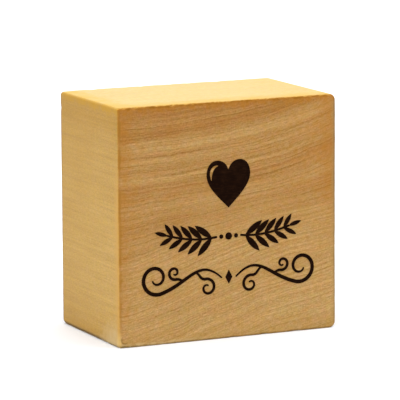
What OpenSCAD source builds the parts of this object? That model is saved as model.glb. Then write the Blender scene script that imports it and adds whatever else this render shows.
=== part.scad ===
// Wood-mounted rubber stamp, standing on one long edge with its printed face to the front.
// Sizes are in millimetres. +X runs along the printed face, +Y from that face back to the
// rubber, and +Z up. The origin is the middle of the face that the block stands on.

/* [Block] */
// Width of the hardwood block
block_w = 50; // [47:0.5:80]
// Height of the hardwood block as it stands
block_h = 50; // [42:0.5:80]
// Thickness of the hardwood block, from the printed face to the rubber side
block_d = 30; // [12:0.5:60]
// Radius of the four sanded edges that run front to back
corner_r = 0.9; // [0.4:0.1:4]
// Radius of the sanded edges around the printed face and the rubber side
face_r = 0.4; // [0.3:0.1:3]

/* [Cushion and die] */
// Thickness of the foam cushion
cushion_t = 3; // [1.5:0.1:6]
// How far the foam stands out past the rubber on every side
cushion_rim = 0.6; // [0:0.1:1]
// Corner radius of the trimmed rubber
die_corner_r = 2.4; // [0.5:0.1:5]
// Thickness of the rubber sheet under the raised design
die_floor_t = 1.4; // [0.8:0.1:3]
// Height of the raised design over the rubber sheet
relief_h = 1; // [0.4:0.1:2]
// Rubber left around the design when the die is trimmed
die_margin = 1.6; // [0.8:0.1:1.8]
// Thickness of each double-sided adhesive film
film_t = 0.15; // [0.05:0.05:0.5]
// How far each film stops short of the edge of the layer that it holds
film_inset = 0.3; // [0.1:0.1:1]

/* [Printed design] */
// Thickness of the printed ink
ink_t = 0.08; // [0.04:0.01:0.3]
// How far the design's middle sits above the block's middle
design_lift = -1.4; // [-2:0.1:2]
// Space between the sprig and the heart over it
heart_gap = 2.4; // [1:0.1:3]
// Space between the flourish and the sprig over it
sprig_gap = 1.4; // [0.6:0.1:2]

/* [Heart] */
// Width of the heart
heart_w = 10; // [6:0.2:14]
// Height of the heart
heart_h = 10; // [6:0.2:12]
// Widest part of the bare brush mark inside the heart
brush_mark_w = 0.7; // [0.3:0.05:0.9]

/* [Sprig] */
// Overall width of the leafy sprig
sprig_w = 34; // [24:0.5:38]
// Pairs of leaves on each branch
leaf_pairs = 5; // [3:1:6]
// Length of the largest leaf
leaf_l = 4.8; // [3:0.1:5]
// Width of the largest leaf
leaf_w = 1.35; // [0.8:0.05:2]
// Share of its size that the smallest leaf keeps
leaf_taper = 0.64; // [0.4:0.02:1]
// Angle between a leaf and its branch, in degrees
leaf_angle = 42; // [25:1:55]
// Thickness of the branch
branch_w = 0.45; // [0.3:0.05:0.8]
// How far the ends of the branches rise over the middle
branch_rise = 1.1; // [0:0.1:2]
// Radius of the largest berry between the branches
berry_r = 0.75; // [0.4:0.05:1]
// Radius of the berries beside it
small_berry_r = 0.45; // [0.2:0.05:0.8]
// Space between one berry and the next
berry_gap = 0.5; // [0.3:0.05:1]

/* [Flourish] */
// Overall width of the pen flourish
flourish_w = 41; // [36:0.5:41]
// Thickness of a pen stroke at its ends
pen_thin = 0.35; // [0.25:0.05:0.5]
// Thickness of the long strokes at their middle
pen_thick = 0.8; // [0.5:0.05:1]
// Thickness of the tendrils at their middle
tendril_thick = 0.6; // [0.4:0.05:0.8]
// Radius of the large curl at each end
curl_r = 3.4; // [2.4:0.1:3.6]
// Radius of the curl that hangs under each half
low_curl_r = 1.9; // [1.3:0.05:2.1]
// Radius of the curl that stands on each half
high_curl_r = 1.45; // [1:0.05:1.6]
// Half the width of the diamond in the middle
diamond_w = 0.8; // [0.5:0.05:1]
// Half the height of the diamond in the middle
diamond_h = 1.5; // [0.8:0.05:2]
// Space between the diamond and the strokes beside it
diamond_gap = 0.9; // [0.5:0.05:1.5]

/* [Hidden] */

$fn = 64;
curve_steps = 14;      // straight pieces in one Bezier curve
turn_steps = 30;       // straight pieces in one turn of a curl
cap_steps = 6;         // straight pieces round the end of a stroke
relief_root = 0.4;     // how deep the raised design runs into the rubber sheet
through = 1;           // how far a cut runs past the faces it opens

// Points and directions along a curve
function unit(v) = v / norm(v);
function heading(angle) = [cos(angle), sin(angle)];
function turned(v, angle) = [v.x * cos(angle) - v.y * sin(angle), v.x * sin(angle) + v.y * cos(angle)];
function bezier(p, t) =
    pow(1 - t, 3) * p[0] + 3 * pow(1 - t, 2) * t * p[1] + 3 * (1 - t) * t * t * p[2] + pow(t, 3) * p[3];
function bezier_slope(p, t) =
    unit(pow(1 - t, 2) * (p[1] - p[0]) + 2 * (1 - t) * t * (p[2] - p[1]) + t * t * (p[3] - p[2]));
function curve(p, steps = curve_steps) = [for (i = [0:steps]) bezier(p, i / steps)];
function top_of(points) = max([for (p = points) p.y]);
function bottom_of(points) = min([for (p = points) p.y]);

// A curl winds in from r_out to r_in about its centre, turning left
function curl(centre, r_out, r_in, start, sweep) =
    let (steps = ceil(sweep / 360 * turn_steps))
    [for (i = [0:steps])
        let (share = i / steps)
        centre + (r_out + (r_in - r_out) * share) * heading(start + sweep * share)];

// A scroll leaves its root along a heading, and runs smoothly into a curl
function scroll(root, leaving, centre, r_out, r_in, start, sweep) =
    let (wound = curl(centre, r_out, r_in, start, sweep),
         reach = norm(wound[0] - root) / 2,
         lead = [root, root + reach * leaving, wound[0] - reach * heading(start + 90), wound[0]])
    concat(curve(lead, 2 * curve_steps), [for (i = [1:len(wound) - 1]) wound[i]]);

// A pen stroke along a line of points, thick at its middle, with thin round ends
function along(line, i) = unit(line[min(i + 1, len(line) - 1)] - line[max(i - 1, 0)]);
function beside(line, i, half, angle) = line[i] + half * turned(along(line, i), angle);
module pen_stroke(line, thin, thick, depth) {
    last = len(line) - 1;
    half = [for (i = [0:last]) (thin + (thick - thin) * sin(180 * i / last)) / 2];
    cap = [for (k = [1:cap_steps - 1]) 180 * k / cap_steps];
    linear_extrude(depth)
        polygon(concat([for (i = [0:last]) beside(line, i, half[i], 90)],
                       [for (a = cap) beside(line, last, half[last], 90 - a)],
                       [for (i = [last:-1:0]) beside(line, i, half[i], -90)],
                       [for (a = cap) beside(line, 0, half[0], -90 - a)]));
}

module both_halves() {
    children();
    mirror([1, 0, 0]) children();
}

// Heart: one half is three curves from its foot to its notch, drawn on a square of side one and then sized
function heart_curves() =
    let (foot = [0, 0], side = [0.5, 0.7], top = [0.26, 1], notch = [0, 0.79])
    [[foot, [0.2, 0.2], [0.5, 0.45], side],
     [side, [0.5, 0.88], [0.4, 1], top],
     [top, [0.14, 1], [0.04, 0.93], notch]];
function heart_half() =
    [for (c = heart_curves()) for (i = [0:curve_steps - 1]) bezier(c, i / curve_steps)];
function heart_outline() =
    let (half = heart_half(), notch = heart_curves()[2][3])
    concat(half, [notch], [for (i = [len(half) - 1:-1:1]) [-half[i].x, half[i].y]]);
function heart_mark() = curve([[-0.39, 0.60], [-0.42, 0.76], [-0.37, 0.88], [-0.24, 0.89]]);
brush_mark_end_w = brush_mark_w / 4;
function heart_sized(points) = [for (p = points) [p.x * heart_w, p.y * heart_h]];
module heart_shape(depth) {
    difference() {
        linear_extrude(depth) polygon(heart_sized(heart_outline()));
        translate([0, 0, -through])
            pen_stroke(heart_sized(heart_mark()), brush_mark_end_w, brush_mark_w, depth + 2 * through);
    }
}

// Sprig: two mirrored branches with pairs of pointed leaves, and berries between them
small_berry_x = berry_r + berry_gap + small_berry_r;
branch_start = small_berry_x + small_berry_r + berry_gap + branch_w / 2;
branch_end = sprig_w / 2 - leaf_l * leaf_taper;
branch_third = (branch_end - branch_start) / 3;
branch_line = [[branch_start, 0], [branch_start + branch_third, -branch_rise / 2],
               [branch_end - branch_third, 0], [branch_end, branch_rise]];
first_leaf = 0.45;     // place of the first pair, in steps from one pair to the next
function leaf_place(i) = (i - 1 + first_leaf) / leaf_pairs;
function leaf_size(i) = 1 + (leaf_taper - 1) * (i - 1) / leaf_pairs;
function leaf_tip(i, side) =
    bezier(branch_line, leaf_place(i))
    + leaf_l * leaf_size(i) * turned(bezier_slope(branch_line, leaf_place(i)), side * leaf_angle);
leaf_tips = concat([for (i = [1:leaf_pairs]) for (side = [-1, 1]) leaf_tip(i, side)],
                   [[0, berry_r], [0, -berry_r]]);
sprig_rise = top_of(leaf_tips);
sprig_drop = -bottom_of(leaf_tips);
module leaf(length, width, depth) {
    bow_r = (length * length + width * width) / (4 * width);
    intersection_for (side = [-1, 1])
        translate([length / 2, side * (bow_r - width / 2), 0]) cylinder(r = bow_r, h = depth);
}
module leaf_on_branch(place, angle, size, depth) {
    slope = bezier_slope(branch_line, place);
    translate(bezier(branch_line, place)) rotate(atan2(slope.y, slope.x) + angle)
        leaf(leaf_l * size, leaf_w * size, depth);
}
module sprig_shape(depth) {
    both_halves() {
        pen_stroke(curve(branch_line), branch_w, branch_w, depth);
        for (i = [1:leaf_pairs]) for (side = [-1, 1])
            leaf_on_branch(leaf_place(i), side * leaf_angle, leaf_size(i), depth);
        leaf_on_branch(1, 0, leaf_taper, depth);
        translate([small_berry_x, 0, 0]) cylinder(r = small_berry_r, h = depth);
    }
    cylinder(r = berry_r, h = depth);
}

// Flourish: mirrored scrolls either side of a diamond, each a long swash with two tendrils
curl_core = 0.25;          // radius at which a curl stops, as a share of its outer radius
swash_turn = [-105, 430];  // where the large curl starts on its circle, and how far it winds
low_turn = [80, 390];      // the same for the hanging curl
high_turn = [-100, 390];   // the same for the standing curl
swash_leaving = 42;        // angle at which the swash leaves the middle
curl_lift = 0.9;           // how far the large curl's centre stands over the diamond's
low_fork = 14;             // point of the swash where the hanging tendril forks off
low_curl_reach = 3.2;      // how far in from that fork the hanging curl lies
high_fork = 18;            // point of the swash where the standing tendril forks off
high_curl_reach = 2.5;     // how far out from that fork the standing curl lies
high_curl_lift = 0.4;      // space between the diamond's level and the underside of that curl
swash_root = [diamond_w + diamond_gap, 0];
curl_centre = [flourish_w / 2 - pen_thick / 2 - curl_r, curl_lift];
swash_line = scroll(swash_root, heading(swash_leaving), curl_centre, curl_r, curl_core * curl_r,
                    swash_turn[0], swash_turn[1]);
low_root = swash_line[low_fork];
low_centre = [low_root.x - low_curl_reach, -low_curl_r];
low_line = scroll(low_root, -along(swash_line, low_fork), low_centre, low_curl_r, curl_core * low_curl_r,
                  low_turn[0], low_turn[1]);
high_root = swash_line[high_fork];
high_centre = [high_root.x + high_curl_reach, high_curl_lift + high_curl_r];
high_line = scroll(high_root, along(swash_line, high_fork), high_centre, high_curl_r,
                   curl_core * high_curl_r, high_turn[0], high_turn[1]);
flourish_points = concat(swash_line, low_line, high_line, [[0, diamond_h], [0, -diamond_h]]);
flourish_rise = top_of(flourish_points) + pen_thick / 2;
flourish_drop = -bottom_of(flourish_points) + pen_thick / 2;
module flourish_shape(depth) {
    both_halves() {
        pen_stroke(swash_line, pen_thin, pen_thick, depth);
        pen_stroke(low_line, pen_thin, tendril_thick, depth);
        pen_stroke(high_line, pen_thin, tendril_thick, depth);
    }
    linear_extrude(depth)
        polygon([[diamond_w, 0], [0, diamond_h], [-diamond_w, 0], [0, -diamond_h]]);
}

// The design is stacked upwards from the flourish, and centred on the block
design_h = flourish_drop + flourish_rise + sprig_gap + sprig_drop + sprig_rise + heart_gap + heart_h;
design_w = max(flourish_w, sprig_w, heart_w);
design_mid_z = block_h / 2 + design_lift;
flourish_z = design_mid_z - design_h / 2 + flourish_drop;
sprig_z = flourish_z + flourish_rise + sprig_gap + sprig_drop;
heart_z = sprig_z + sprig_rise + heart_gap;

// Layers behind the block, counted from the printed face to the back
front_y = -block_d / 2;
block_back_y = block_d / 2;
cushion_y = block_back_y + film_t;
die_film_y = cushion_y + cushion_t;
die_y = die_film_y + film_t;
relief_y = die_y + die_floor_t;
die_w = design_w + 2 * die_margin;
die_h = design_h + 2 * die_margin;
cushion_w = die_w + 2 * cushion_rim;
cushion_h = die_h + 2 * cushion_rim;
cushion_corner_r = die_corner_r + cushion_rim;
block_film_w = cushion_w - 2 * film_inset;
block_film_h = cushion_h - 2 * film_inset;
die_film_w = die_w - 2 * film_inset;
die_film_h = die_h - 2 * film_inset;

// A rectangle about the origin with round corners
module rounded_rectangle(width, height, radius) {
    square([width - 2 * radius, height], center = true);
    square([width, height - 2 * radius], center = true);
    for (x = [-1, 1]) for (y = [-1, 1])
        translate([x * (width / 2 - radius), y * (height / 2 - radius)]) circle(r = radius);
}

// Stands a flat shape upright, with its thickness running back from y
module upright(y, depth) {
    translate([0, y + depth, 0]) rotate([90, 0, 0]) children();
}
module layer(y, depth, width, height, radius) {
    upright(y, depth) translate([0, design_mid_z, 0])
        linear_extrude(depth) rounded_rectangle(width, height, radius);
}

module wood_block() {
    color([0.77, 0.60, 0.36]) intersection() {
        upright(front_y, block_d) translate([0, block_h / 2, 0])
            linear_extrude(block_d) rounded_rectangle(block_w, block_h, corner_r);
        linear_extrude(block_h) rounded_rectangle(block_w, block_d, face_r);
        translate([-block_w / 2, 0, block_h / 2]) rotate([0, 90, 0])
            linear_extrude(block_w) rounded_rectangle(block_h, block_d, face_r);
    }
}

module block_adhesive() {
    color([0.88, 0.87, 0.80])
        layer(block_back_y, film_t, block_film_w, block_film_h, cushion_corner_r - film_inset);
}

module foam_cushion() {
    color([0.92, 0.91, 0.88]) layer(cushion_y, cushion_t, cushion_w, cushion_h, cushion_corner_r);
}

module die_adhesive() {
    color([0.88, 0.87, 0.80])
        layer(die_film_y, film_t, die_film_w, die_film_h, die_corner_r - film_inset);
}

module rubber_die() {
    relief_depth = relief_root + relief_h;
    color([0.62, 0.16, 0.14]) {
        layer(die_y, die_floor_t, die_w, die_h, die_corner_r);
        upright(relief_y - relief_root, relief_depth) {
            translate([0, heart_z, 0]) heart_shape(relief_depth);
            translate([0, sprig_z, 0]) sprig_shape(relief_depth);
            translate([0, flourish_z, 0]) flourish_shape(relief_depth);
        }
    }
}

module printed(z) {
    color([0.10, 0.07, 0.06]) upright(front_y - ink_t, ink_t) translate([0, z, 0]) children();
}

module print_heart() {
    printed(heart_z) heart_shape(ink_t);
}

module print_sprig() {
    printed(sprig_z) sprig_shape(ink_t);
}

module print_flourish() {
    printed(flourish_z) flourish_shape(ink_t);
}

wood_block();
block_adhesive();
foam_cushion();
die_adhesive();
rubber_die();
print_heart();
print_sprig();
print_flourish();
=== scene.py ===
"""Looks of a wood-mounted rubber stamp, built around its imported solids.

The block stands on one long edge with its printed face to the front (-Y). Behind it lie a film of
adhesive, a foam cushion, a second film and the rubber die. Lengths are in metres, and MM turns millimetres
into metres. Only the places and sizes of the patterns in the materials are in millimetres.
"""

import functools
import math
import random

import bmesh
import bpy
import numpy as np
from mathutils import Matrix, Vector, noise


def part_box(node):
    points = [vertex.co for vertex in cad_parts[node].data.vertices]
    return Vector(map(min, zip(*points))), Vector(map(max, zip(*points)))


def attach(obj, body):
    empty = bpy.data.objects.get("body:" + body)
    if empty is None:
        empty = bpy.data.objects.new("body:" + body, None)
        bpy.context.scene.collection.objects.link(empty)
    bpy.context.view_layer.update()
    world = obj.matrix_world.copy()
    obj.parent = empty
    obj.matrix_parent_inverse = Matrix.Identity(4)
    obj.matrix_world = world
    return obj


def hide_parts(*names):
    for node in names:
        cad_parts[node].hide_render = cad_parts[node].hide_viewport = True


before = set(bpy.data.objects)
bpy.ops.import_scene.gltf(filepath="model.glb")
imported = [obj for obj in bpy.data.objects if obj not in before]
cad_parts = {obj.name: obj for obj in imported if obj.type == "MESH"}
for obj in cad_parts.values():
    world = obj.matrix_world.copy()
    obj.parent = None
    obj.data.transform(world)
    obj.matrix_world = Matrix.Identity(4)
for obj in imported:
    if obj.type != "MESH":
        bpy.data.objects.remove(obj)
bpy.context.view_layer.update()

MM = 0.001
SEED = 7

BLOCK_LOW, BLOCK_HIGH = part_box("wood_block")
BLOCK_MID = (BLOCK_LOW + BLOCK_HIGH) / 2

# Camera of the photograph: turned to the left of the printed face and a little above it
CAMERA_AZIMUTH = -25.07
CAMERA_ELEVATION = 9.43
CAMERA_ROLL = -0.31
CAMERA_DISTANCE = 705.2 * MM
CAMERA_LENS = 299.5
CAMERA_SENSOR = 36.0
AIM_RIGHT = 0.44 * MM
AIM_UP = 1.985 * MM
CAMERA_CLIP = (0.01, 20.0)


def make_camera():
    """Places the camera as a turn round the block, with a small roll and an aim beside the block's middle."""
    azimuth, elevation, roll = map(math.radians, (CAMERA_AZIMUTH, CAMERA_ELEVATION, CAMERA_ROLL))
    back = Vector((math.sin(azimuth) * math.cos(elevation),
                   -math.cos(azimuth) * math.cos(elevation),
                   math.sin(elevation)))
    level = Vector((0, 0, 1)).cross(back).normalized()
    upright = back.cross(level)
    right = level * math.cos(roll) + upright * math.sin(roll)
    up = upright * math.cos(roll) - level * math.sin(roll)
    aim = BLOCK_MID + right * AIM_RIGHT + up * AIM_UP
    data = bpy.data.cameras.new("camera")
    data.lens = CAMERA_LENS
    data.sensor_width = CAMERA_SENSOR
    data.clip_start, data.clip_end = CAMERA_CLIP
    camera = bpy.data.objects.new("camera", data)
    bpy.context.scene.collection.objects.link(camera)
    turn = Matrix((right, up, back)).transposed().to_4x4()
    camera.matrix_world = Matrix.Translation(aim + back * CAMERA_DISTANCE) @ turn
    bpy.context.scene.camera = camera


class Graph:
    """A node tree that is written as nested calls. A value is a number, a tuple or another node's output."""

    def __init__(self, tree):
        self.tree = tree
        tree.nodes.clear()

    def add(self, kind, inputs=(), **settings):
        made = self.tree.nodes.new(kind)
        for key, value in settings.items():
            setattr(made, key, value)
        for key, value in dict(inputs).items():
            if isinstance(value, bpy.types.NodeSocket):
                self.tree.links.new(value, made.inputs[key])
            else:
                made.inputs[key].default_value = value
        return made

    def math(self, operation, *values):
        return self.add("ShaderNodeMath", enumerate(values), operation=operation).outputs[0]

    def fold(self, operation, values):
        """Joins values with one operation, from the first to the last."""
        return functools.reduce(functools.partial(self.math, operation), values)

    def total(self, *values):
        return self.fold("ADD", values)

    def product(self, *values):
        return self.fold("MULTIPLY", values)

    def largest(self, *values):
        return self.fold("MAXIMUM", values)

    def weighted(self, values, weights):
        """The sum of named values, each times its weight."""
        return self.total(*[self.product(values[name], weight) for name, weight in weights.items()])

    def rescale(self, value, low, high, to_low=0.0, to_high=1.0, smooth=False):
        """Maps low to to_low and high to to_high, and stays between them."""
        ends = {0: value, 1: low, 2: high, 3: to_low, 4: to_high}
        style = "SMOOTHSTEP" if smooth else "LINEAR"
        return self.add("ShaderNodeMapRange", ends, interpolation_type=style).outputs[0]

    def vector(self, x, y, z):
        return self.add("ShaderNodeCombineXYZ", {0: x, 1: y, 2: z}).outputs[0]

    def split(self, vector):
        return self.add("ShaderNodeSeparateXYZ", {0: vector}).outputs

    def noise(self, place, scale=1.0, detail=2.0):
        """A number round 0.5 that wanders over a place, which is a vector or a distance along a line."""
        inputs = {"Scale": scale, "Detail": detail}
        if place.type == "VECTOR":
            made = self.add("ShaderNodeTexNoise", {"Vector": place, **inputs})
        else:
            made = self.add("ShaderNodeTexNoise", {"W": place, **inputs}, noise_dimensions="1D")
        return made.outputs[0]

    def ripple(self, place, scale=1.0, detail=2.0):
        """The same noise, round 0."""
        return self.math("SUBTRACT", self.noise(place, scale, detail), 0.5)

    def mix(self, share, first, second):
        inputs = {0: share, 6: first, 7: second}
        return self.add("ShaderNodeMix", inputs, data_type="RGBA").outputs[2]

    def times(self, first, second):
        """A colour or vector times another, channel by channel."""
        return self.add("ShaderNodeVectorMath", {0: first, 1: second}, operation="MULTIPLY").outputs[0]

    def shaded(self, colour, change, strength):
        """A colour that a number round 0 makes lighter or darker, with its own strength in each channel."""
        inputs = {0: change, 1: strength, 2: (1, 1, 1)}
        light = self.add("ShaderNodeVectorMath", inputs, operation="MULTIPLY_ADD").outputs[0]
        return self.times(colour, light)

    def curve(self, value, low, high, stops):
        """A number that runs through the stops (place, height) as value goes from low to high."""
        ramp = self.add("ShaderNodeValToRGB", {0: self.rescale(value, low, high)})
        elements = ramp.color_ramp.elements
        while len(elements) < len(stops):
            elements.new(0.5)
        for element, (place, height) in zip(elements, stops):
            element.position = (place - low) / (high - low)
            element.color = (height, height, height, 1)
        return ramp.outputs[0]

    def millimetres(self):
        """The place on the piece in the part's own frame, in millimetres."""
        place = self.add("ShaderNodeTexCoord").outputs["Object"]
        return self.add("ShaderNodeVectorMath", {0: place, "Scale": 1 / MM}, operation="SCALE").outputs[0]

    def facing(self):
        """How squarely the surface faces along X, Y and Z, each from 0 to 1."""
        normal = self.add("ShaderNodeTexCoord").outputs["Normal"]
        return self.split(self.times(normal, normal))

    def bump(self, height, distance, strength):
        inputs = {"Height": height, "Distance": distance, "Strength": strength}
        return self.add("ShaderNodeBump", inputs).outputs[0]


def new_material(name, draw):
    """Makes a material whose draw function returns the inputs of its shader."""
    material = bpy.data.materials.new(name)
    material.use_nodes = True
    graph = Graph(material.node_tree)
    shader = graph.add("ShaderNodeBsdfPrincipled", draw(graph))
    graph.add("ShaderNodeOutputMaterial", {0: shader.outputs[0]})
    return material


# Sides and middle of the block in millimetres, for the patterns in the materials
LEFT, FRONT, FOOT = BLOCK_LOW / MM
RIGHT, BACK, HEAD = BLOCK_HIGH / MM
MIDDLE_X, MIDDLE_Y, _ = BLOCK_MID / MM
USUAL_NOISE = (0.3, 0.7)   # most values of a noise lie between these

# Wood: low on the block the grain climbs from the left and levels out, high up it starts level and climbs.
# Slopes, bends and lifts are against the block's width
GRAIN_LOW_SLOPE, GRAIN_LOW_BEND, GRAIN_LOW_LIFT = 0.33, 0.58, 0.06
GRAIN_LOW_START = 0.08     # share of the width over which the low course starts to climb
GRAIN_LOW_TURN = 0.58      # share of the width past which the low course levels out
GRAIN_HIGH_BEND, GRAIN_HIGH_LIFT = 0.135, 0.02
GRAIN_TURN = (0.36, 0.70)  # share of the height over which the low course gives way to the high one
LIFT_POWER = 8.0           # how late a course lifts at the right edge
GRAIN_TILT = 0.05          # how much a ring drops for each millimetre from front to back
RING_WAVES = ((0.07, 0.6), (0.2, 0.8))     # scale of a noise and how far it moves a ring
TOP_SWAY, TOP_BEND = 0.03, 7.0             # the same for the fibres of the top, to the front and back
# Fine growth lines: their spacing, the scale and size of its drift, and the shape of their darkening
LINE_STEP = 0.95
LINE_DRIFT = (0.35, 2.0)
LINE_POWER, LINE_MEAN = 3.0, 0.25
LINE_RANGE = (-0.16, 0.16)                 # values of the noise over which the lines grow to full strength
# Streaks along the grain: length and thickness
STREAKS = {
    "line_strength": (18.0, 2.2),
    "long_fibres": (22.0, 0.36),
    "short_fibres": (1.0, 0.24),
    "short_hues": (1.3, 0.9),
    "long_hues": (8.0, 1.1),
    "end_streaks": (16.0, 0.8),
    "top_streaks": (16.0, 1.6),
}
# Specks and patches: scale and detail of a noise
PORES, MOTTLE, CREAM = (3.2, 1), (0.13, 1), (0.9, 1)
# How brown the growth rings are, against their height at the left edge
RING_LOW, RING_HIGH = -12.0, 50.0
RINGS = [
    (-3, 0.0), (0, 0.15), (8.5, 0.20), (10.3, 0.05), (12.5, 0.25), (13.6, 0.15), (15.2, 0.30),
    (17, 0.25), (18.8, 0.50), (20.2, 0.45), (22, 0.55), (25, 0.60), (27.4, 0.35), (28.6, 0.35),
    (29.5, 0.50), (30.2, 0.70), (31.2, 0.60), (32, 0.90), (32.5, 0.65), (33.4, 0.70), (34.5, 0.30),
    (35.4, 0.40), (36.3, 0.65), (37.2, 0.45), (38.2, 0.35), (39.6, 0.60), (40.6, 0.25), (41.8, 0.30),
    (43.2, 0.75), (44.5, 0.95), (45.7, 0.75), (47.2, 0.95),
]
FRONT_PALE, FRONT_BROWN = (0.545, 0.325, 0.116, 1), (0.396, 0.181, 0.044, 1)
END_PALE, END_BROWN = (0.594, 0.366, 0.102, 1), (0.492, 0.275, 0.053, 1)
# The top's colours are paler and creamier than the front's: partly the wood's own colour, partly a painted
# sheen
TOP_PALE_WITH_SHEEN, TOP_BROWN_WITH_SHEEN = (0.640, 0.472, 0.185, 1), (0.580, 0.408, 0.138, 1)
FIBRE_SHADE = (0.85, 1.05, 1.60)   # dark fibres lose most of their blue, so that they are brown
REDDISH, GREENISH = (1.035, 0.970, 0.960, 1), (0.965, 1.030, 1.030, 1)
YELLOWISH, CREAMY = (1.0, 1.0, 0.88, 1), (1.0, 1.0, 1.12, 1)
# How brown the two ends of the block are, against the height
END_TONE = [
    (0, 1.0), (1, 0.85), (3, 0.45), (6, 0.28), (10, 0.10), (20, 0.04), (30, 0.20), (40, 0.45), (44, 0.65),
    (47, 0.98), (50, 1.0),
]
# The faces: their pale and brown colours, what browns them and what lightens or darkens them
WOOD_FACES = {
    "front": {
        "colours": (FRONT_PALE, FRONT_BROWN),
        "browning": {"bands": 1.0, "mottle": 0.4},
        "shading": {"lines": -0.32, "long_fibres": 0.66, "short_fibres": 0.80, "pores": 0.55},
    },
    "end": {
        "colours": (END_PALE, END_BROWN),
        "browning": {"end_tone": 1.0, "mottle": 0.5, "bands": 0.1},
        "shading": {"lines": -0.08, "long_fibres": 0.28, "short_fibres": 0.45, "pores": 0.35,
                    "end_streaks": 0.30},
    },
    "top": {
        "colours": (TOP_PALE_WITH_SHEEN, TOP_BROWN_WITH_SHEEN),
        "browning": {"mottle": 0.3, "top_streaks": 0.9, "evenly": 0.25},
        "shading": {"lines": -0.16, "long_fibres": 0.40, "short_fibres": 0.40, "pores": 0.25},
    },
}
# What turns the wood from reddish to greenish, the values over which it turns and the share left on the ends
HUES = {"short_hues": 1.0, "long_hues": 0.6}
HUE_RANGE = (-0.22, 0.22)
END_HUE = 0.35
WOOD_HEIGHT = {"long_fibres": 0.8, "short_fibres": 0.5, "lines": -0.4}
WOOD_RELIEF = 0.06 * MM
WOOD_ROUGHNESS, FIBRE_ROUGHNESS = 0.44, 0.25
TOP_GOLD = (0.650, 0.400, 0.070, 1)
END_GOLD = (0.560, 0.300, 0.025, 1)
WORN = (0.670, 0.362, 0.078, 1)
STAIN = (0.460, 0.172, 0.013, 1)
BROWNED = (0.380, 0.170, 0.022, 1)
FOOT_GOLD = (0.450, 0.235, 0.040, 1)
# pale for rubbed wood, and above the foot of the front partly a painted highlight
RUBBED_AND_HIGHLIGHT = (0.650, 0.460, 0.210, 1)
# painted shade on the rounding of the front's right edge
RIGHT_EDGE_SHADE = (0.440, 0.270, 0.100, 1)
# dark for painted shade along edges and at the foot, and for a fleck in the grain
DARK_SHADE_AND_FLECK = (0.100, 0.050, 0.014, 1)
EDGE_OLIVE = (0.170, 0.080, 0.003, 1)
# pale for a worn corner that is partly a painted highlight
CORNER_WEAR_AND_HIGHLIGHT = (0.740, 0.510, 0.190, 1)
# How a strip is broken up: scale and detail of a noise, the values it runs between and its least share
TEXTURES = {
    "patches": (0.22, 2, 0.30, 0.58, 0.35),
    "flecks": (1.1, 3, 0.34, 0.60, 0.20),
    "notches": (2.4, 2, 0.44, 0.60, 0.0),
}
# Where a strip stays: an axis, the place on it where the strip starts and the place where it is full
REGIONS = {
    "off_foot": ("z", FOOT + 1, FOOT + 7),
    "corner": ("z", FOOT + 3.6, FOOT + 1.4),
    "upper": ("z", FOOT + 16, FOOT + 32),
    "lower": ("z", FOOT + 42, FOOT + 28),
    "left": ("x", LEFT + 25, LEFT + 12),
    "right": ("x", RIGHT - 25, RIGHT - 12),
}
# Borders of the faces: strips of colour along their edges. Many are where the finish gathers and hands rub,
# and the painted shade and highlights among them are marked. Each row gives the axis across the strip, the
# edge it starts at, the face it lies on, how far in it is full and where it ends, its colour and its share,
# and then the textures and regions that limit it
BORDERS = [
    ("y", FRONT, "top", 2.0, 5.5, TOP_GOLD, 0.95, "patches"),
    ("x", LEFT, "top", 1.8, 5.0, TOP_GOLD, 1.0, "patches"),
    ("x", RIGHT, "top", 3.0, 14.0, TOP_GOLD, 0.25, "patches"),
    ("z", HEAD, "end", 1.0, 1.7, END_GOLD, 1.0, "patches"),
    ("y", BACK, "end", 0.0, 24.0, END_BROWN, 0.35),
    # painted shade along the back edges of the ends
    ("y", BACK, "end", 0.3, 0.9, DARK_SHADE_AND_FLECK, 0.40),
    ("y", FRONT, "end", 0.8, 2.4, WORN, 0.70, "lower", "left"),
    # painted shade on the rounding of the front's right edge, on the side of the end
    ("y", FRONT, "end", 0.4, 0.9, DARK_SHADE_AND_FLECK, 0.25, "right"),
    ("x", LEFT, "front", 0.9, 4.0, STAIN, 0.46, "patches", "off_foot"),
    ("x", LEFT, "front", 0.4, 0.8, BROWNED, 0.95, "patches", "off_foot"),
    ("x", RIGHT, "front", 2.2, 5.0, STAIN, 0.34, "patches", "upper"),
    ("x", RIGHT, "front", 5.0, 18.0, STAIN, 0.20, "patches", "upper"),
    # painted shade along the right edge of the front, which turns away from the light
    ("x", RIGHT, "front", 0.3, 1.1, RIGHT_EDGE_SHADE, 0.80, "patches"),
    ("x", RIGHT, "front", 0.15, 0.55, DARK_SHADE_AND_FLECK, 0.42, "patches"),
    ("x", RIGHT, "front", 0.4, 1.2, DARK_SHADE_AND_FLECK, 0.12, "upper"),
    ("z", HEAD, "front", 0.7, 1.8, STAIN, 0.65, "flecks"),
    ("z", HEAD, "front", 0.3, 0.7, STAIN, 0.70),
    ("z", HEAD, "front", 0.35, 0.65, EDGE_OLIVE, 0.45, "flecks"),
    ("y", FRONT, "top", 0.1, 0.8, STAIN, 0.55, "notches"),
    ("z", FOOT, "front", 0.0, 4.0, FOOT_GOLD, 0.35, "patches"),
    # a pale strip above the foot of the front: a worn edge and partly a painted highlight
    ("z", FOOT, "front", 0.5, 1.0, RUBBED_AND_HIGHLIGHT, 0.75, "flecks", "left"),
    # painted contact shadow: a dark line along the foot of the ends and of the front
    ("z", FOOT, "end", 0.45, 0.85, DARK_SHADE_AND_FLECK, 0.85),
    ("z", FOOT, "front", 0.2, 0.5, DARK_SHADE_AND_FLECK, 0.6, "patches"),
    # a pale lower left corner: wear and partly a painted highlight
    ("y", FRONT, "end", 1.0, 2.2, CORNER_WEAR_AND_HIGHLIGHT, 0.85, "corner", "left"),
    ("x", LEFT, "front", 0.3, 0.7, CORNER_WEAR_AND_HIGHLIGHT, 0.65, "corner"),
]
RAGGED = 1.2               # how far the inner end of a textured strip wanders, against where it ends
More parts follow.
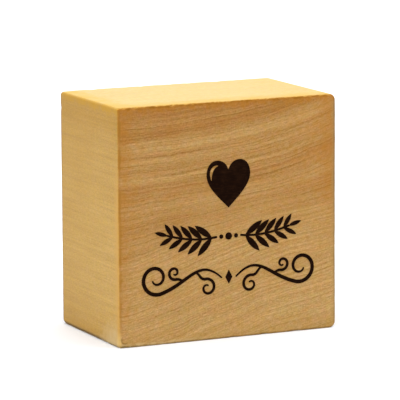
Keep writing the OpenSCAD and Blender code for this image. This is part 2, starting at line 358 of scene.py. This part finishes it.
RAGGED_NOISE = (0.9, 3)
# A rubbed corner at the lower left: how far it reaches along the end and up, the share of that over which
# it fades, how ragged it is, how far from the front it starts and is full, and how pale it is
RUB_ALONG, RUB_UP, RUB_FADE = 14.0, 8.0, 1 / 1.6
RUB_NOISE, RUB_RAGGED = (0.7, 3), 0.8
RUB_START, RUB_FULL, RUB_SHARE = 0.6, 2.2, 0.9
# A crescent dent by that corner and a fleck in the grain
DENT_X, DENT_Z, DENT_RADIUS, DENT_WIDTH = LEFT + 1.25, FOOT + 1.7, 0.75, 0.26
DENT_OPENING, DENT_SHARE = 0.6, 0.6
FLECK_X, FLECK_Z, FLECK_SIZE, FLECK_SHARE = LEFT + 21.5, FOOT + 9.6, 0.35, 0.5
LEAST_REACH = 0.01         # added to a distance that divides, so that it is never zero


def wood_rings(graph, x, y, z, place):
    """Height of the growth ring that passes through a place, measured at the block's left edge."""
    across = graph.rescale(x, LEFT, RIGHT)
    up = graph.rescale(z, FOOT, HEAD)
    lift = graph.math("POWER", across, LIFT_POWER)
    slant = graph.math("SQRT", graph.math("MULTIPLY_ADD", across, across, GRAIN_LOW_START ** 2))
    past_turn = graph.math("MAXIMUM", graph.math("SUBTRACT", across, GRAIN_LOW_TURN), 0.0)
    low = graph.total(graph.product(graph.math("SUBTRACT", slant, GRAIN_LOW_START), GRAIN_LOW_SLOPE),
                      graph.product(past_turn, past_turn, -GRAIN_LOW_BEND),
                      graph.product(lift, GRAIN_LOW_LIFT))
    high = graph.total(graph.product(across, across, GRAIN_HIGH_BEND), graph.product(lift, GRAIN_HIGH_LIFT))
    turn = graph.rescale(up, *GRAIN_TURN, smooth=True)
    climb = graph.math("MULTIPLY_ADD", turn, graph.math("SUBTRACT", high, low), low)
    tilt = graph.math("MULTIPLY", graph.math("SUBTRACT", y, FRONT), GRAIN_TILT)
    waves = [graph.product(graph.ripple(place, scale, 1), size) for scale, size in RING_WAVES]
    return graph.total(graph.math("MULTIPLY_ADD", climb, LEFT - RIGHT, z), tilt, *waves)


def wood_grain(graph, place, facing):
    """The kinds of grain by name: evenly is 1, bands and end_tone are shares of brown, and the others are
    numbers round 0."""
    x, y, z = graph.split(place)
    ring = wood_rings(graph, x, y, z, place)
    sway = graph.math("MULTIPLY_ADD", graph.noise(place, TOP_SWAY, 1), TOP_BEND, y)
    course = graph.math("MULTIPLY_ADD", facing["top"], graph.math("SUBTRACT", sway, ring), ring)
    course = graph.math("MULTIPLY_ADD", facing["end"], graph.math("SUBTRACT", z, course), course)

    grain = {"evenly": 1.0}
    for name, (length, thickness) in STREAKS.items():
        where = graph.vector(graph.math("DIVIDE", x, length), graph.math("DIVIDE", y, length),
                             graph.math("DIVIDE", course, thickness))
        grain[name] = graph.ripple(where)
    drift_scale, drift_size = LINE_DRIFT
    drift = graph.product(graph.noise(course, drift_scale, 1), drift_size)
    saw = graph.math("FRACT", graph.math("MULTIPLY_ADD", course, 1 / LINE_STEP, drift))
    darkening = graph.math("SUBTRACT", graph.math("POWER", saw, LINE_POWER), LINE_MEAN)
    grain["lines"] = graph.product(darkening, graph.rescale(grain["line_strength"], *LINE_RANGE))
    grain["pores"] = graph.ripple(place, *PORES)
    grain["mottle"] = graph.ripple(place, *MOTTLE)
    grain["bands"] = graph.curve(ring, RING_LOW, RING_HIGH, RINGS)
    grain["end_tone"] = graph.curve(z, FOOT, HEAD, END_TONE)
    return grain


def draw_borders(graph, colour, place, facing):
    """Lays the strips along the borders of the faces over a colour."""
    axes = dict(zip("xyz", graph.split(place)))
    limits = {}
    for name, (scale, detail, low, high, least) in TEXTURES.items():
        limits[name] = graph.rescale(graph.noise(place, scale, detail), low, high, least)
    for name, (axis, starts, full) in REGIONS.items():
        limits[name] = graph.rescale(axes[axis], starts, full)
    ragged = graph.product(graph.ripple(place, *RAGGED_NOISE), RAGGED)
    for axis, edge, face, full, ends, tone, share, *names in BORDERS:
        off_edge = graph.math("ABSOLUTE", graph.math("SUBTRACT", axes[axis], edge))
        if TEXTURES.keys() & set(names):
            off_edge = graph.math("MULTIPLY_ADD", ragged, ends, off_edge)
        within = [limits[name] for name in names]
        strip = graph.product(graph.rescale(off_edge, ends, full), facing[face], share, *within)
        colour = graph.mix(strip, colour, tone)
    return colour


def draw_marks(graph, colour, place, facing):
    """Lays a rubbed corner, a crescent dent and a dark fleck over a colour."""
    x, y, z = graph.split(place)
    along, up = graph.math("SUBTRACT", y, FRONT), graph.math("SUBTRACT", z, FOOT)
    off = graph.math("ADD", graph.math("DIVIDE", along, RUB_ALONG), graph.math("DIVIDE", up, RUB_UP))
    off = graph.math("MULTIPLY_ADD", graph.ripple(place, *RUB_NOISE), RUB_RAGGED, off)
    rubbed = graph.product(graph.rescale(off, 1.0, 1.0 - RUB_FADE), graph.rescale(along, RUB_START, RUB_FULL),
                           graph.math("LESS_THAN", x, MIDDLE_X))
    colour = graph.mix(graph.product(rubbed, facing["end"], RUB_SHARE), colour, RUBBED_AND_HIGHLIGHT)

    def off_centre(centre_x, centre_z):
        aside, above = graph.math("SUBTRACT", x, centre_x), graph.math("SUBTRACT", z, centre_z)
        squares = graph.math("ADD", graph.product(aside, aside), graph.product(above, above))
        return aside, above, graph.math("SQRT", squares)

    on_front = graph.product(facing["front"], graph.math("LESS_THAN", y, MIDDLE_Y))
    aside, above, off = off_centre(DENT_X, DENT_Z)
    off_rim = graph.math("ABSOLUTE", graph.math("SUBTRACT", off, DENT_RADIUS))
    open_side = graph.math("DIVIDE", graph.math("ADD", aside, above), graph.math("ADD", off, LEAST_REACH))
    crescent = graph.product(graph.rescale(off_rim, DENT_WIDTH, 0.0),
                             graph.rescale(open_side, DENT_OPENING, -DENT_OPENING))
    colour = graph.mix(graph.product(crescent, on_front, DENT_SHARE), colour, EDGE_OLIVE)
    _, _, off = off_centre(FLECK_X, FLECK_Z)
    fleck = graph.product(graph.rescale(off, FLECK_SIZE, 0.0), on_front, FLECK_SHARE)
    return graph.mix(fleck, colour, DARK_SHADE_AND_FLECK)


def draw_wood(graph):
    place = graph.millimetres()
    facing = dict(zip(("end", "front", "top"), graph.facing()))
    grain = wood_grain(graph, place, facing)
    on = {}
    for name, face in WOOD_FACES.items():
        plain = graph.mix(graph.weighted(grain, face["browning"]), *face["colours"])
        on[name] = graph.shaded(plain, graph.weighted(grain, face["shading"]), FIBRE_SHADE)
    colour = graph.mix(facing["end"], graph.mix(facing["top"], on["front"], on["top"]), on["end"])
    hue = graph.product(graph.weighted(grain, HUES), graph.rescale(facing["end"], 0.0, 1.0, 1.0, END_HUE))
    colour = graph.times(colour, graph.mix(graph.rescale(hue, *HUE_RANGE), REDDISH, GREENISH))
    cream = graph.rescale(graph.noise(place, *CREAM), *USUAL_NOISE)
    colour = graph.times(colour, graph.mix(cream, YELLOWISH, CREAMY))
    colour = draw_borders(graph, colour, place, facing)
    colour = draw_marks(graph, colour, place, facing)
    roughness = graph.math("MULTIPLY_ADD", grain["long_fibres"], FIBRE_ROUGHNESS, WOOD_ROUGHNESS)
    return {"Base Color": colour, "Roughness": roughness, "Specular IOR Level": 0.08,
            "Normal": graph.bump(graph.weighted(grain, WOOD_HEIGHT), WOOD_RELIEF, strength=0.5)}


# Ink: nearly black, thin where the grain lifts through it
INK_DEEP, INK_THIN = (0.0075, 0.0024, 0.0010, 1), (0.020, 0.0075, 0.003, 1)
INK_STRETCH = (0.5, 1.0, 4.0)              # the grain under the ink is long along X and fine along Z
INK_GRAIN, INK_BLOTS = (1.0, 3), (0.9, 3)  # scale and detail of a noise
INK_PATCHES = {"grain": 1.0, "blots": 0.6}
INK_THINNING = (0.72, 1.05)                # values of the patches over which the ink thins
INK_ROUGHNESS = (0.6, 0.8)
INK_RELIEF = 0.03 * MM


def draw_ink(graph):
    place = graph.millimetres()
    grain = graph.noise(graph.times(place, INK_STRETCH), *INK_GRAIN)
    patches = graph.weighted({"grain": grain, "blots": graph.noise(place, *INK_BLOTS)}, INK_PATCHES)
    return {"Base Color": graph.mix(graph.rescale(patches, *INK_THINNING), INK_DEEP, INK_THIN),
            "Roughness": graph.rescale(grain, *USUAL_NOISE, *INK_ROUGHNESS), "Specular IOR Level": 0.02,
            "Normal": graph.bump(grain, INK_RELIEF, strength=0.4)}


# Foam: small cells with pale walls, and dust
FOAM_PALE, FOAM_DARK = (0.800, 0.790, 0.750, 1), (0.560, 0.550, 0.510, 1)
FOAM_CELLS = 2.6                           # scale of the cells
FOAM_WALLS = (0.1, 0.62)                   # distances from the middle of a cell over which its wall rises
FOAM_DUST = (0.35, 3)                      # scale and detail of a noise
FOAM_SHADE = {"evenly": 0.2, "walls": -0.35, "dust": 0.5}
FOAM_RELIEF = 0.12 * MM


def draw_foam(graph):
    place = graph.millimetres()
    cells = graph.add("ShaderNodeTexVoronoi", {"Vector": place, "Scale": FOAM_CELLS}).outputs["Distance"]
    walls = graph.rescale(cells, *FOAM_WALLS)
    dust = graph.noise(place, *FOAM_DUST)
    shade = graph.weighted({"evenly": 1.0, "walls": walls, "dust": dust}, FOAM_SHADE)
    return {"Base Color": graph.mix(shade, FOAM_PALE, FOAM_DARK), "Roughness": 0.85,
            "Normal": graph.bump(walls, FOAM_RELIEF, strength=0.7)}


# Film: clear adhesive that dust dulls in patches
FILM_CLEAR, FILM_DULL = (0.740, 0.720, 0.620, 1), (0.560, 0.530, 0.430, 1)
FILM_DUST, FILM_DUST_RANGE = (1.2, 4), (0.35, 0.7)
FILM_ROUGHNESS = (0.22, 0.5)


def draw_film(graph):
    dust = graph.rescale(graph.noise(graph.millimetres(), *FILM_DUST), *FILM_DUST_RANGE)
    return {"Base Color": graph.mix(dust, FILM_CLEAR, FILM_DULL),
            "Roughness": graph.rescale(dust, 0.0, 1.0, *FILM_ROUGHNESS)}


# Rubber: the printing face stays smooth and dark, and the burnt-out floor round it is dull and dusty
RUBBER_FACE = (0.270, 0.028, 0.024, 1)
RUBBER_FRESH = (0.340, 0.046, 0.036, 1)
RUBBER_DUSTY = (0.450, 0.115, 0.092, 1)
RUBBER_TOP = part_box("rubber_die")[1].y / MM
FACE_DEPTH = 0.12                          # how deep the smooth face reaches
ENGRAVING_STEP = 0.28                      # space between the burner's passes over the rubber
RUBBER_SPECKLE, SPECKLE_RANGE = (5.0, 3), (0.35, 0.65)
RUBBER_DUST, RUBBER_DUST_RANGE = (0.45, 4), (0.35, 0.75)
FACE_DUST = 0.25                           # share of the dust that stays on the smooth face
PASS_HEIGHT, FLOOR_SPECKLE, FACE_SPECKLE = 0.6, 1.4, 0.2     # shares of the relief
RUBBER_RELIEF = 0.04 * MM
FACE_ROUGHNESS, FLOOR_ROUGHNESS = (0.32, 0.46), 0.30


def draw_rubber(graph):
    place = graph.millimetres()
    _, y, z = graph.split(place)
    _, back, _ = graph.facing()
    face = graph.rescale(y, RUBBER_TOP - FACE_DEPTH, RUBBER_TOP - FACE_DEPTH / 4)
    floor = graph.math("SUBTRACT", 1.0, face)
    passes = graph.math("SINE", graph.math("MULTIPLY", z, 2 * math.pi / ENGRAVING_STEP))
    speckle = graph.noise(place, *RUBBER_SPECKLE)
    dust = graph.rescale(graph.noise(place, *RUBBER_DUST), *RUBBER_DUST_RANGE)
    floor_dust = graph.product(dust, graph.rescale(speckle, *SPECKLE_RANGE))
    burnt = graph.mix(floor_dust, RUBBER_FRESH, RUBBER_DUSTY)
    smooth = graph.mix(graph.product(dust, FACE_DUST), RUBBER_FACE, RUBBER_FRESH)
    height = graph.total(graph.product(passes, floor, back, PASS_HEIGHT),
                         graph.product(speckle, floor, FLOOR_SPECKLE), graph.product(speckle, FACE_SPECKLE))
    face_roughness = graph.rescale(speckle, *USUAL_NOISE, *FACE_ROUGHNESS)
    return {"Base Color": graph.mix(face, burnt, smooth),
            "Roughness": graph.math("MULTIPLY_ADD", floor, FLOOR_ROUGHNESS, face_roughness),
            "Specular IOR Level": 0.2, "Normal": graph.bump(height, RUBBER_RELIEF, strength=0.6)}


def add_piece(name, mesh, material, node, crease=180):
    """Adds a mesh that stands for a CAD node. Edges that turn by more than crease degrees stay sharp."""
    piece = bpy.data.objects.new(name, mesh)
    bpy.context.scene.collection.objects.link(piece)
    mesh.materials.append(material)
    mesh.polygons.foreach_set("use_smooth", [True] * len(mesh.polygons))
    mesh.set_sharp_from_angle(angle=math.radians(crease))
    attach(piece, "root")
    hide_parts(node)
    return piece


# Block: a box whose front and back edges are sanded by hand, so that their rounding wanders
EDGE_RADIUS = 0.3 * MM
LEFT_RADIUS = 0.55 * MM    # the edges that run from front to back are rounder
RIGHT_RADIUS = 1.4 * MM
EDGE_ZONE = 2.4 * MM       # near an edge the mesh has a number of steps that widen away from it
EDGE_STEPS = 12
EDGE_WIDENING = 1.6
FACE_STEPS = (0.25 * MM, 0.5 * MM, 0.5 * MM)    # along X, Y and Z
LEAST_SPAN = 1e-9
EDGE_WAVES = ((0.2, 7 * MM, 3), (0.3, 1.3 * MM, 11))    # share of the radius, size and seed
NICK_COUNT = 80            # of all edges, though those of the right end stay smooth
NICK_AXES = (0, 0, 1, 2)   # the axes of the edges that are nicked, with those along X twice as often
NICK_REACH = (0.3 * MM, 0.8 * MM)
NICK_DEPTH = (0.03 * MM, 0.11 * MM)
# The left end is worn at three corners: the rims of the front are rounder at its foot, and the long edges
# of the back are rounder at its foot and its head
FRONT_FOOT_WEAR = 0.5 * MM
BACK_FOOT_RADIUS = 1.2 * MM
BACK_HEAD_RADIUS = 0.8 * MM
CORNER_REACH = 3.0 * MM
UPPER_TEAR = 0.42 * MM     # fibres are torn out along the upper edge of the front, and fewer along the left
LEFT_TEAR = 0.12 * MM
TEAR_SIZE = 0.5 * MM
TEAR_REACH = 0.45 * MM
TEAR_SEED = 29


def stations(low, high, step):
    """Places along one side of the block, close together near its ends."""
    middle = round((high - low - 2 * EDGE_ZONE) / step)
    zone = EDGE_ZONE * np.linspace(0, 1, EDGE_STEPS, endpoint=False) ** EDGE_WIDENING
    between = np.linspace(low + EDGE_ZONE, high - EDGE_ZONE, middle + 1)
    return np.concatenate([low + zone, between, (high - zone)[::-1]])


def box_lattice(axes):
    """Points on the surface of a box with lattice places along its axes, and the quads between them."""
    counts = [len(axis) for axis in axes]
    index_of, points, quads = {}, [], []

    def corner(key):
        if key not in index_of:
            index_of[key] = len(points)
            points.append([axes[axis][step] for axis, step in enumerate(key)])
        return index_of[key]

    for axis in range(3):
        first, second = (axis + 1) % 3, (axis + 2) % 3
        for side in (0, counts[axis] - 1):
            for i in range(counts[first] - 1):
                for j in range(counts[second] - 1):
                    ring = []
                    for di, dj in ((0, 0), (1, 0), (1, 1), (0, 1)):
                        key = [0, 0, 0]
                        key[axis], key[first], key[second] = side, i + di, j + dj
                        ring.append(corner(tuple(key)))
                    quads.append(ring if side else ring[::-1])
    return np.array(points), quads


def wander(points, size, seed):
    """Smooth noise from -1 to 1 at each point, with bumps of about a size."""
    shift = Vector((seed, seed * 1.7, seed * 2.3))
    return np.array([noise.noise(Vector(p) / size + shift) for p in points])


def round_block(points, low, high):
    """Rounds the block's outline as seen from the front, and then the rims of its front and back. Gives the
    points and the directions that lead straight out of the rims."""
    from_low, from_high = points - low, high - points
    middle = (low + high) / 2
    outline_radius = np.where(points[:, 0] < middle[0], LEFT_RADIUS, RIGHT_RADIUS)[:, None]
    flat, flat_low, flat_high = points[:, ::2], low[::2], high[::2]
    core = np.clip(flat, flat_low + outline_radius, flat_high - outline_radius)
    past_core = flat - core
    span = np.linalg.norm(past_core, axis=1)[:, None]
    sideways = past_core / np.maximum(span, LEAST_SPAN)
    flat = core + sideways * np.abs(past_core).max(axis=1)[:, None]

    waves = sum(share * wander(points, size, seed) for share, size, seed in EDGE_WAVES)
    wear = FRONT_FOOT_WEAR * np.exp(-(np.linalg.norm(from_low, axis=1) / CORNER_REACH) ** 2)
    radius = EDGE_RADIUS * (1 + waves) + wear
    off_sides, off_faces, off_levels = np.minimum(from_low, from_high).T
    forward = np.where(points[:, 1] < middle[1], -1, 1)
    to_rim = np.clip(radius - np.minimum(off_sides, off_levels), 0, None)
    to_face = np.clip(radius - off_faces, 0, None)
    reach = np.hypot(to_rim, to_face)
    pull = radius / reach - 1
    flat = flat + sideways * (to_rim * pull)[:, None]
    depth = points[:, 1] + forward * to_face * pull
    outward = np.stack([sideways[:, 0] * to_rim, forward * to_face, sideways[:, 1] * to_rim], 1)
    return np.stack([flat[:, 0], depth, flat[:, 1]], 1), outward / reach[:, None]


def worn_back(from_low, from_high):
    """How far each point moves to round the left ends of the back's long edges, at the foot and the head."""
    moves = np.zeros_like(from_low)
    fading = np.exp(-(from_low[:, 0] / CORNER_REACH) ** 2)
    for off_level, upward, most in ((from_low[:, 2], -1, BACK_FOOT_RADIUS),
                                    (from_high[:, 2], 1, BACK_HEAD_RADIUS)):
        off_edge = np.stack([from_high[:, 1], off_level], 1)
        within = np.clip(most * fading[:, None] - off_edge, 0, None)
        pull = within.max(axis=1) / np.maximum(np.linalg.norm(within, axis=1), LEAST_SPAN) - 1
        moves[:, 1] += within[:, 0] * pull
        moves[:, 2] += within[:, 1] * pull * upward
    return moves


def block_mesh():
    """A fine mesh of the block with sanded rims, worn corners, torn fibres and nicks."""
    low, high = np.array(BLOCK_LOW), np.array(BLOCK_HIGH)
    points, quads = box_lattice([stations(*side) for side in zip(low, high, FACE_STEPS)])
    from_low, from_high = points - low, high - points
    points, outward = round_block(points, low, high)
    points = points + worn_back(from_low, from_high)

    torn = np.clip(wander(points, TEAR_SIZE, TEAR_SEED), 0, 1)
    off_upper = np.hypot(from_low[:, 1], from_high[:, 2])
    off_left = np.hypot(from_low[:, 1], from_low[:, 0])
    torn = torn * np.maximum(UPPER_TEAR * np.exp(-(off_upper / TEAR_REACH) ** 2),
                             LEFT_TEAR * np.exp(-(off_left / TEAR_REACH) ** 2))
    points = points - outward * torn[:, None]

    draw = random.Random(SEED)
    for _ in range(NICK_COUNT):
        axis = draw.choice(NICK_AXES)
        centre = np.array([draw.choice((a, b)) for a, b in zip(low, high)])
        centre[axis] = draw.uniform(low[axis], high[axis])
        size, depth = draw.uniform(*NICK_REACH), draw.uniform(*NICK_DEPTH)
        on_right_end = centre[0] == high[0]
        if on_right_end:
            continue
        share = np.exp(-(np.linalg.norm(points - centre, axis=1) / size) ** 2)
        points = points - outward * (share * depth)[:, None]
    mesh = bpy.data.meshes.new("wood_block_sanded")
    mesh.from_pydata(points.tolist(), [], quads)
    return mesh


# Pads: flat pieces whose cut sides are a little wavy
PAD_STEP = 0.5 * MM
LEAST_ARC_STEPS = 4
WAVE_SIZE = 4 * MM
WAVE_DEPTH = 2 * MM        # the thickness of any pad counts as this much in its waves


def rounded_outline(width, height, radius, step):
    """Points (x, z) round a rectangle about the origin with round corners."""
    points = []
    wide, tall = width - 2 * radius, height - 2 * radius
    corners = [(1, 1, wide), (-1, 1, tall), (-1, -1, wide), (1, -1, tall)]
    quarter = math.pi / 2
    arc_steps = max(LEAST_ARC_STEPS, round(radius * quarter / step))
    for turn, (side_x, side_z, run) in enumerate(corners):
        start = turn * quarter
        centre = Vector((side_x * wide / 2, side_z * tall / 2))
        for i in range(arc_steps + 1):
            angle = start + quarter * i / arc_steps
            points.append(centre + radius * Vector((math.cos(angle), math.sin(angle))))
        along = Vector((math.cos(start + math.pi), math.sin(start + math.pi)))
        count = round(run / step)
        arc_end = points[-1]
        points.extend([arc_end + along * run * i / count for i in range(1, count)])
    return points


def loft(name, rings):
    """A closed mesh through rings of equally many points, with a fan over the first and the last ring."""
    count = len(rings[0])
    points = [p for ring in rings for p in ring]
    faces = []
    for level in range(len(rings) - 1):
        for i in range(count):
            j = (i + 1) % count
            here, beyond = level * count, (level + 1) * count
            faces.append((here + j, here + i, beyond + i, beyond + j))
    for ring, start in ((rings[0], 0), (rings[-1], (len(rings) - 1) * count)):
        points.append(sum(ring, Vector()) / count)
        hub = len(points) - 1
        for i in range(count):
            j = (i + 1) % count
            faces.append((start + i, start + j, hub) if start == 0 else (start + j, start + i, hub))
    mesh = bpy.data.meshes.new(name)
    mesh.from_pydata(points, [], faces)
    return mesh


def pad_rings(node, corner, profile, waviness, seed):
    """Rings over a flat pad in the place of a CAD node. The profile lists each ring's share of the
    thickness, from the side near the block, its inset from the outline and its share of the outline."""
    low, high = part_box(node)
    middle = (low + high) / 2
    outline = rounded_outline(high.x - low.x, high.z - low.z, corner, PAD_STEP)
    shift = Vector((seed, 0, 0))
    rings = []
    for depth, inset, share in profile:
        y = low.y + (high.y - low.y) * depth
        ring = []
        for p in outline:
            wave = abs(noise.noise(Vector((p.x, depth * WAVE_DEPTH, p.y)) / WAVE_SIZE + shift))
            shrink = (1 - (inset + waviness * wave) / p.length) * share
            ring.append(Vector((middle.x + p.x * shrink, y, middle.z + p.y * shrink)))
        rings.append(ring)
    return rings


# Foam: its sides are hollow where the cutter squeezed them
FOAM_CORNER, FOAM_WAVINESS, FOAM_SEED = 3.0 * MM, 0.1 * MM, 5
FOAM_PROFILE = [
    (0, 0.10 * MM, 0.30), (0, 0.10 * MM, 0.70), (0, 0.10 * MM, 0.96), (0, 0.05 * MM, 1), (0.06, 0, 1),
    (0.20, 0.08 * MM, 1), (0.40, 0.16 * MM, 1), (0.60, 0.16 * MM, 1), (0.80, 0.08 * MM, 1), (0.94, 0, 1),
    (1, 0.06 * MM, 1), (1, 0.10 * MM, 0.96), (1, 0.10 * MM, 0.70), (1, 0.10 * MM, 0.30),
]


def foam_mesh():
    return loft("foam_pad", pad_rings("foam_cushion", FOAM_CORNER, FOAM_PROFILE, FOAM_WAVINESS, FOAM_SEED))


# Die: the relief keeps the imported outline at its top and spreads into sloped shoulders
DIE_CORNER, DIE_WAVINESS, DIE_SEED = 2.4 * MM, 0.12 * MM, 23
# Spread and drop of a shoulder from the top of the relief down into the sheet
SHOULDERS = [(0, 0), (0.05 * MM, 0.25 * MM), (0.30 * MM, 1.0 * MM), (0.34 * MM, 1.1 * MM)]
MERGE_DISTANCE = 0.0005 * MM
LEVEL_TOLERANCE = 0.01 * MM
LEVEL_DIGITS = 6           # heights in metres are told apart to a micrometre
FACING_LIMIT = 0.99        # a face whose normal leans less than this along Y is a side
MITER_LIMIT = 0.5          # keeps the spread of a sharp corner short


def die_levels(mesh):
    """Heights of the faces that look to the back, the relief's and the floor's."""
    backs = [f for f in mesh.faces if f.normal.y > FACING_LIMIT]
    heights = sorted({round(f.calc_center_median().y, LEVEL_DIGITS) for f in backs})
    return heights[-1], heights[0]


def relief_faces(source, relief_y):
    """Faces on top of the relief, and the edges round them with the directions out of the relief."""
    tops = [f for f in source.faces if f.normal.y > FACING_LIMIT
            and abs(f.calc_center_median().y - relief_y) < LEVEL_TOLERANCE]
    chosen = set(tops)
    rims, outward = [], {}
    for face in tops:
        for loop in face.loops:
            others = [f for f in loop.edge.link_faces if f in chosen]
            if len(others) == 1:
                a, b = loop.vert, loop.link_loop_next.vert
                side = (b.co - a.co).normalized().cross(face.normal)
                rims.append((a, b))
                outward.setdefault(a, []).append(side)
                outward.setdefault(b, []).append(side)
    return tops, rims, outward


def relief_mesh():
    """Points and faces of the relief with its shoulders, and the height of the floor round it."""
    source = bmesh.new()
    source.from_mesh(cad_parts["rubber_die"].data)
    bmesh.ops.remove_doubles(source, verts=source.verts, dist=MERGE_DISTANCE)
    relief_y, floor_y = die_levels(source)
    tops, rims, outward = relief_faces(source, relief_y)
    order = {v: i for i, v in enumerate(outward)}
    points, faces = [], []
    for spread, drop in SHOULDERS:
        for v, sides in outward.items():
            mean = sum(sides, Vector())
            miter = mean / max(mean.length_squared, MITER_LIMIT) * len(sides)
            points.append(v.co + miter * spread + Vector((0, -drop, 0)))
    count, last = len(outward), len(SHOULDERS) - 1
    for face in tops:
        ring = [order[v] for v in face.verts]
        faces.append(ring)
        faces.append([last * count + i for i in reversed(ring)])
    for a, b in rims:
        for level in range(last):
            i, j = level * count + order[a], level * count + order[b]
            faces.append((j, i, i + count, j + count))
    source.free()
    return points, faces, floor_y


def die_mesh():
    """The trimmed rubber sheet with the relief on it."""
    points, faces, floor_y = relief_mesh()
    low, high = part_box("rubber_die")
    floor = (floor_y - low.y) / (high.y - low.y)
    profile = [
        (0, 0, 0.30), (0, 0, 0.96), (0, 0.05 * MM, 1), (0.04, 0, 1), (floor * 0.5, 0.05 * MM, 1),
        (floor * 0.94, 0.02 * MM, 1), (floor, 0.10 * MM, 1), (floor, 0.10 * MM, 0.96), (floor, 0, 0.30),
    ]
    mesh = loft("rubber_sheet", pad_rings("rubber_die", DIE_CORNER, profile, DIE_WAVINESS, DIE_SEED))
    joined = bmesh.new()
    joined.from_mesh(mesh)
    made = [joined.verts.new(p) for p in points]
    for face in faces:
        joined.faces.new([made[i] for i in face])
    joined.to_mesh(mesh)
    joined.free()
    return mesh


def make_stamp():
    """Puts the dressed block, foam and die in the place of their nodes, and dresses the other nodes."""
    wood = new_material("oiled_hardwood", draw_wood)
    ink = new_material("printing_ink", draw_ink)
    film = new_material("adhesive_film", draw_film)
    add_piece("wood_block_sanded", block_mesh(), wood, "wood_block")
    soft = new_material("cushion_foam", draw_foam)
    foam = add_piece("foam_cushion_cut", foam_mesh(), soft, "foam_cushion", crease=50)
    red = new_material("stamp_rubber", draw_rubber)
    add_piece("rubber_die_engraved", die_mesh(), red, "rubber_die", crease=35)
    for node, material in (("block_adhesive", film), ("die_adhesive", film), ("print_heart", ink),
                           ("print_sprig", ink), ("print_flourish", ink)):
        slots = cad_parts[node].data.materials
        slots.clear()
        slots.append(material)


# Stage: a white floor, white surroundings, a soft light overhead and weaker ones from the sides and behind
FLOOR_SIZE = 6.0
FLOOR_WHITE = (0.44, 0.44, 0.44, 1)
FLOOR_SEEN = (0.865, 0.885, 0.920, 1)    # to the camera and in reflections, so that it clears to white
WHITE = (1, 1, 1, 1)
WORLD_SEEN, WORLD_LIGHT = 1.0, 0.30
LAMPS = {
    "overhead": {"strength": 2.30, "spread": 70, "toward": (-0.05, -0.12, 1.0), "reflected": True},
    "left_fill": {"strength": 1.75, "spread": 60, "toward": (-0.76, -0.54, 0.38), "reflected": True},
    "right_fill": {"strength": 1.0, "spread": 60, "toward": (0.85, -0.25, 0.60), "reflected": True},
    "back_fill": {"strength": 1.2, "spread": 60, "toward": (0.35, 0.85, 0.50), "reflected": False},
}


def seen_directly(graph):
    """1 on rays from the camera, and on those that a shiny or clear surface sends on."""
    path = graph.add("ShaderNodeLightPath").outputs
    return graph.largest(path["Is Camera Ray"], path["Is Glossy Ray"], path["Is Transmission Ray"])


def make_floor():
    bpy.ops.mesh.primitive_plane_add(size=FLOOR_SIZE, location=(0, 0, BLOCK_LOW.z))
    floor = bpy.context.object
    floor.name = "floor"
    material = bpy.data.materials.new("white_floor")
    material.use_nodes = True
    graph = Graph(material.node_tree)
    plain = graph.add("ShaderNodeBsdfDiffuse", {"Color": FLOOR_WHITE}).outputs[0]
    seen = graph.add("ShaderNodeBsdfDiffuse", {"Color": FLOOR_SEEN}).outputs[0]
    mixed = graph.add("ShaderNodeMixShader", {0: seen_directly(graph), 1: plain, 2: seen}).outputs[0]
    graph.add("ShaderNodeOutputMaterial", {0: mixed})
    floor.data.materials.append(material)


def make_light():
    world = bpy.data.worlds.new("surroundings")
    world.use_nodes = True
    bpy.context.scene.world = world
    graph = Graph(world.node_tree)
    seen = graph.add("ShaderNodeBackground", {"Color": WHITE, "Strength": WORLD_SEEN}).outputs[0]
    fill = graph.add("ShaderNodeBackground", {"Color": WHITE, "Strength": WORLD_LIGHT}).outputs[0]
    mixed = graph.add("ShaderNodeMixShader", {0: seen_directly(graph), 1: fill, 2: seen}).outputs[0]
    graph.add("ShaderNodeOutputWorld", {0: mixed})

    for name, light in LAMPS.items():
        lamp = bpy.data.lights.new(name, "SUN")
        lamp.energy = light["strength"]
        lamp.angle = math.radians(light["spread"])
        holder = bpy.data.objects.new(name, lamp)
        bpy.context.scene.collection.objects.link(holder)
        holder.rotation_euler = Vector(light["toward"]).to_track_quat("Z", "Y").to_euler()
        holder.visible_glossy = light["reflected"]


make_camera()
make_stamp()
make_floor()
make_light()
bpy.context.scene.view_settings.view_transform = "Standard"
